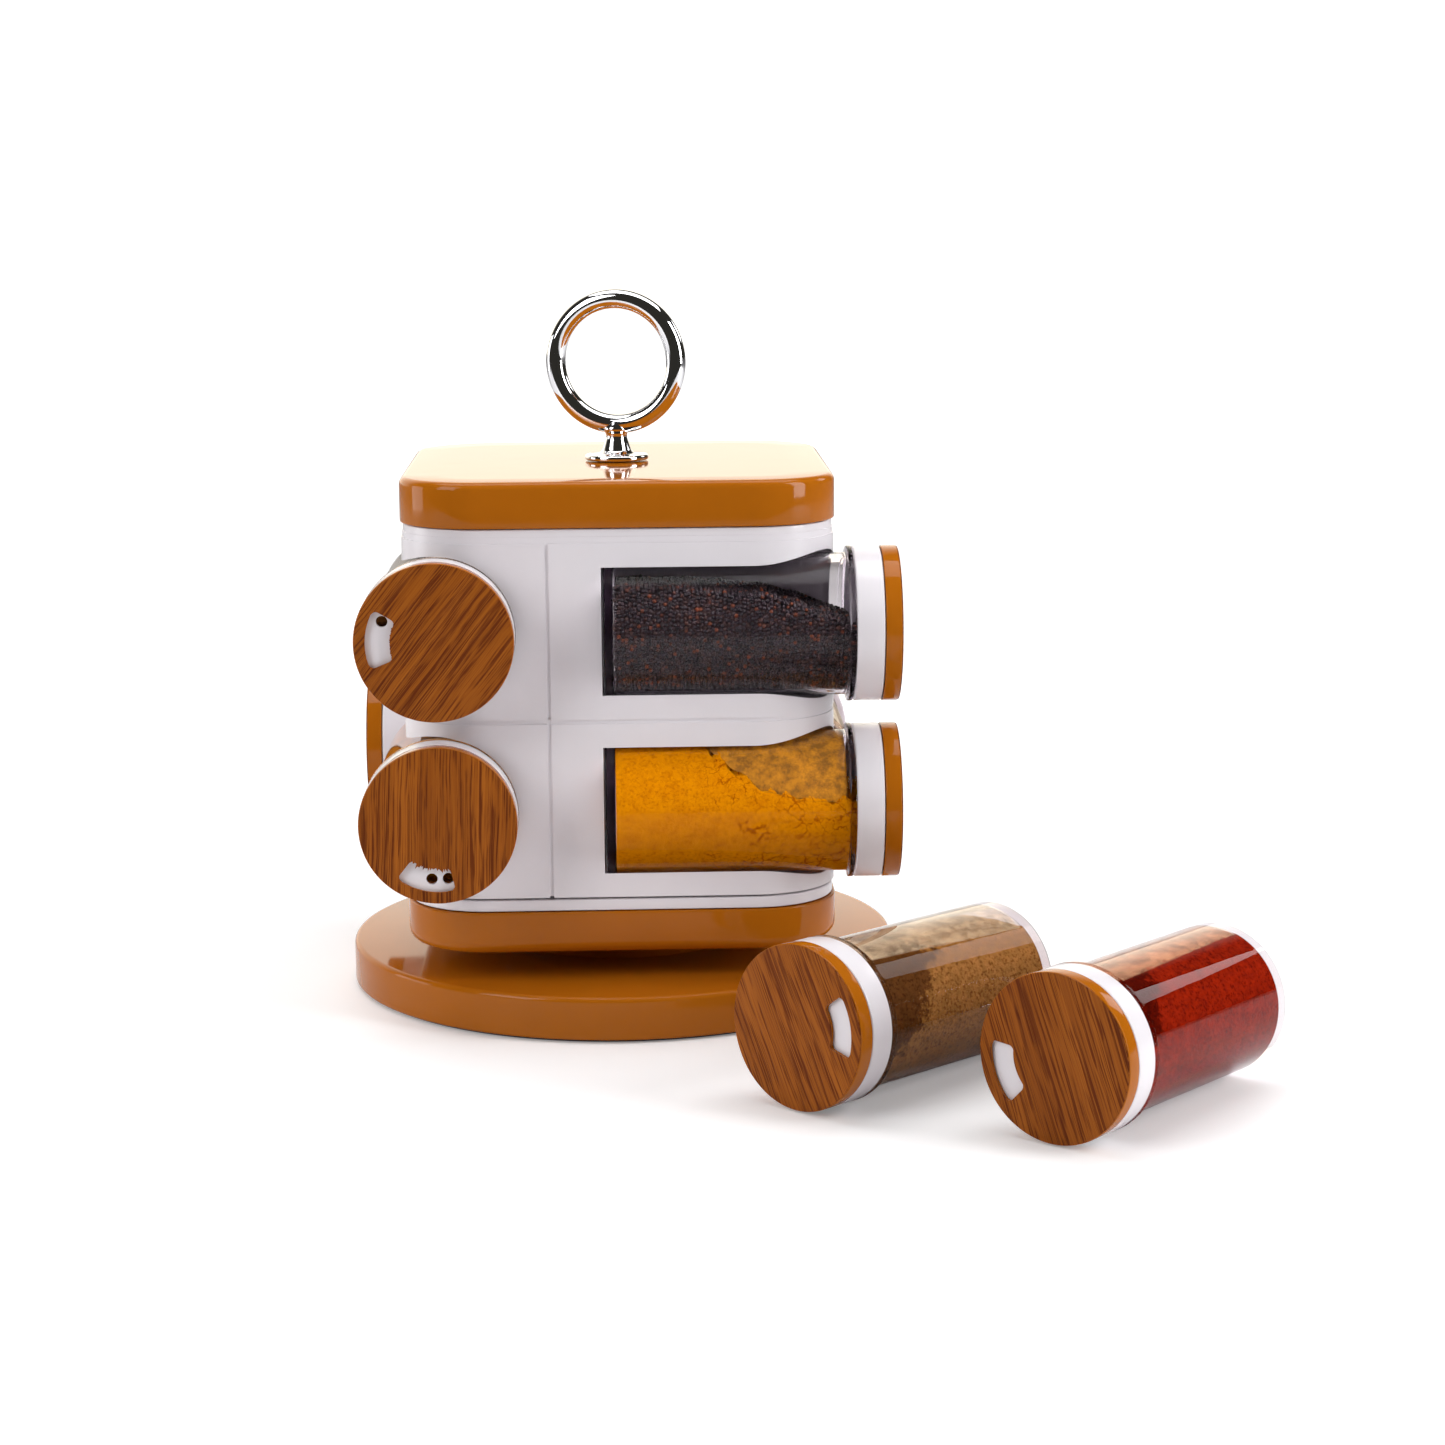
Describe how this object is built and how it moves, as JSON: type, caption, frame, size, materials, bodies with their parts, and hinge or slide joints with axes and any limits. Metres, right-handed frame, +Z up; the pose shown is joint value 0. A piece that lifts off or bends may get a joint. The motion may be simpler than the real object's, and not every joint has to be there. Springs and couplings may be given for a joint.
{
  "type": "revolving spice carousel with eight sifter jars",
  "caption": "Square revolving spice tower on a round base, with clear sifter jars that slide into its sides, two jars lying out beside it, and a chromed lifting ring.",
  "frame": {"origin": "centre of the flat underside of the base, on the floor and on the axis that the tower turns about", "axes": "+Z up along the spin axis; -Y out of the front face; +X to the right for someone who faces the front"},
  "size_m": [0.2917, 0.3092, 0.2342],
  "materials": {
    "brown_plastic": "glossy caramel brown",
    "white_plastic": "glossy white, faintly lavender",
    "clear_plastic": "clear, faintly purple in its thick edges",
    "wood_print": "wood grain printed on vinyl, satin",
    "chrome": "mirror polished",
    "plated_steel": "zinc plated",
    "dark_nylon": "dark matt",
    "mustard_seed": "small dark seeds",
    "turmeric": "golden powder",
    "coriander": "olive brown powder",
    "chilli": "deep red powder"
  },
  "bodies": {
    "base": {"base_shell": "brown_plastic", "base_plate": "dark_nylon", "glide_ring": "dark_nylon", "pivot_washer": "plated_steel"},
    "carousel": {"centre_rod": "plated_steel", "pivot_nut": "plated_steel", "bottom_tray": "brown_plastic", "lower_plate": "white_plastic", "upper_plate": "white_plastic", "top_lid": "brown_plastic", "ring_handle": "chrome", "jar_module_front_lower": "white_plastic", "jar_module_front_upper": "white_plastic", "jar_module_right_lower": "white_plastic", "jar_module_right_upper": "white_plastic", "jar_module_back_lower": "white_plastic", "jar_module_back_upper": "white_plastic", "jar_module_left_lower": "white_plastic", "jar_module_left_upper": "white_plastic"},
    "front_upper_jar": {"jar_front_upper": "clear_plastic"},
    "front_upper_lid": {"sifter_lid_front_upper": "white_plastic"},
    "front_upper_dial": {"dial_front_upper": "brown_plastic", "wood_inlay_front_upper": "wood_print"},
    "front_lower_jar": {"jar_front_lower": "clear_plastic"},
    "front_lower_lid": {"sifter_lid_front_lower": "white_plastic"},
    "front_lower_dial": {"dial_front_lower": "brown_plastic", "wood_inlay_front_lower": "wood_print"},
    "right_lower_jar": {"jar_right_lower": "clear_plastic"},
    "right_lower_lid": {"sifter_lid_right_lower": "white_plastic"},
    "right_lower_dial": {"dial_right_lower": "brown_plastic", "wood_inlay_right_lower": "wood_print"},
    "back_lower_jar": {"jar_back_lower": "clear_plastic"},
    "back_lower_lid": {"sifter_lid_back_lower": "white_plastic"},
    "back_lower_dial": {"dial_back_lower": "brown_plastic", "wood_inlay_back_lower": "wood_print"},
    "left_upper_jar": {"jar_left_upper": "clear_plastic"},
    "left_upper_lid": {"sifter_lid_left_upper": "white_plastic"},
    "left_upper_dial": {"dial_left_upper": "brown_plastic", "wood_inlay_left_upper": "wood_print"},
    "left_lower_jar": {"jar_left_lower": "clear_plastic"},
    "left_lower_lid": {"sifter_lid_left_lower": "white_plastic"},
    "left_lower_dial": {"dial_left_lower": "brown_plastic", "wood_inlay_left_lower": "wood_print"},
    "loose_inner_jar": {"jar_loose_inner": "clear_plastic"},
    "loose_inner_lid": {"sifter_lid_loose_inner": "white_plastic"},
    "loose_inner_dial": {"dial_loose_inner": "brown_plastic", "wood_inlay_loose_inner": "wood_print"},
    "loose_outer_jar": {"jar_loose_outer": "clear_plastic"},
    "loose_outer_lid": {"sifter_lid_loose_outer": "white_plastic"},
    "loose_outer_dial": {"dial_loose_outer": "brown_plastic", "wood_inlay_loose_outer": "wood_print"}
  },
  "joints": [
    {"name": "carousel_spin", "type": "hinge", "parent": "base", "child": "carousel", "pos_m": [0, 0, 0], "axis": [0, 0, 1], "continuous": true},
    {"name": "front_upper_jar_slide", "type": "slide", "parent": "carousel", "child": "front_upper_jar", "axis": [1, 0, 0], "range_m": [0, 0.085]},
    {"name": "front_upper_lid_off", "type": "slide", "parent": "front_upper_jar", "child": "front_upper_lid", "axis": [1, 0, 0], "range_m": [0, 0.02]},
    {"name": "front_upper_dial_turn", "type": "hinge", "parent": "front_upper_lid", "child": "front_upper_dial", "pos_m": [0.0895, -0.0576, 0.129], "axis": [1, 0, 0], "continuous": true},
    {"name": "front_lower_jar_slide", "type": "slide", "parent": "carousel", "child": "front_lower_jar", "axis": [1, 0, 0], "range_m": [0, 0.085]},
    {"name": "front_lower_lid_off", "type": "slide", "parent": "front_lower_jar", "child": "front_lower_lid", "axis": [1, 0, 0], "range_m": [0, 0.02]},
    {"name": "front_lower_dial_turn", "type": "hinge", "parent": "front_lower_lid", "child": "front_lower_dial", "pos_m": [0.0895, -0.0576, 0.071], "axis": [1, 0, 0], "continuous": true},
    {"name": "right_lower_jar_slide", "type": "slide", "parent": "carousel", "child": "right_lower_jar", "axis": [0, 1, 0], "range_m": [0, 0.085]},
    {"name": "right_lower_lid_off", "type": "slide", "parent": "right_lower_jar", "child": "right_lower_lid", "axis": [0, 1, 0], "range_m": [0, 0.02]},
    {"name": "right_lower_dial_turn", "type": "hinge", "parent": "right_lower_lid", "child": "right_lower_dial", "pos_m": [0.0576, 0.0895, 0.071], "axis": [0, 1, 0], "continuous": true},
    {"name": "back_lower_jar_slide", "type": "slide", "parent": "carousel", "child": "back_lower_jar", "axis": [-1, 0, 0], "range_m": [0, 0.085]},
    {"name": "back_lower_lid_off", "type": "slide", "parent": "back_lower_jar", "child": "back_lower_lid", "axis": [-1, 0, 0], "range_m": [0, 0.02]},
    {"name": "back_lower_dial_turn", "type": "hinge", "parent": "back_lower_lid", "child": "back_lower_dial", "pos_m": [-0.0895, 0.0576, 0.071], "axis": [-1, 0, 0], "continuous": true},
    {"name": "left_upper_jar_slide", "type": "slide", "parent": "carousel", "child": "left_upper_jar", "axis": [0, -1, 0], "range_m": [0, 0.085]},
    {"name": "left_upper_lid_off", "type": "slide", "parent": "left_upper_jar", "child": "left_upper_lid", "axis": [0, -1, 0], "range_m": [0, 0.02]},
    {"name": "left_upper_dial_turn", "type": "hinge", "parent": "left_upper_lid", "child": "left_upper_dial", "pos_m": [-0.0576, -0.0895, 0.129], "axis": [0, -1, 0], "continuous": true},
    {"name": "left_lower_jar_slide", "type": "slide", "parent": "carousel", "child": "left_lower_jar", "axis": [0, -1, 0], "range_m": [0, 0.085]},
    {"name": "left_lower_lid_off", "type": "slide", "parent": "left_lower_jar", "child": "left_lower_lid", "axis": [0, -1, 0], "range_m": [0, 0.02]},
    {"name": "left_lower_dial_turn", "type": "hinge", "parent": "left_lower_lid", "child": "left_lower_dial", "pos_m": [-0.0576, -0.0895, 0.071], "axis": [0, -1, 0], "continuous": true},
    {"name": "loose_inner_jar_lift", "type": "slide", "parent": "base", "child": "loose_inner_jar", "axis": [0, 0, 1], "range_m": [0, 0.12]},
    {"name": "loose_inner_lid_off", "type": "slide", "parent": "loose_inner_jar", "child": "loose_inner_lid", "axis": [-0.7069, -0.7069, 0.0269], "range_m": [0, 0.02]},
    {"name": "loose_inner_dial_turn", "type": "hinge", "parent": "loose_inner_lid", "child": "loose_inner_dial", "pos_m": [0.0504, -0.1654, 0.02546], "axis": [-0.7069, -0.7069, 0.0269], "continuous": true},
    {"name": "loose_outer_jar_lift", "type": "slide", "parent": "base", "child": "loose_outer_jar", "axis": [0, 0, 1], "range_m": [0, 0.12]},
    {"name": "loose_outer_lid_off", "type": "slide", "parent": "loose_outer_jar", "child": "loose_outer_lid", "axis": [-0.6492, -0.7601, 0.0269], "range_m": [0, 0.02]},
    {"name": "loose_outer_dial_turn", "type": "hinge", "parent": "loose_outer_lid", "child": "loose_outer_dial", "pos_m": [0.1211, -0.2014, 0.02546], "axis": [-0.6492, -0.7601, 0.0269], "continuous": true}
  ]
}
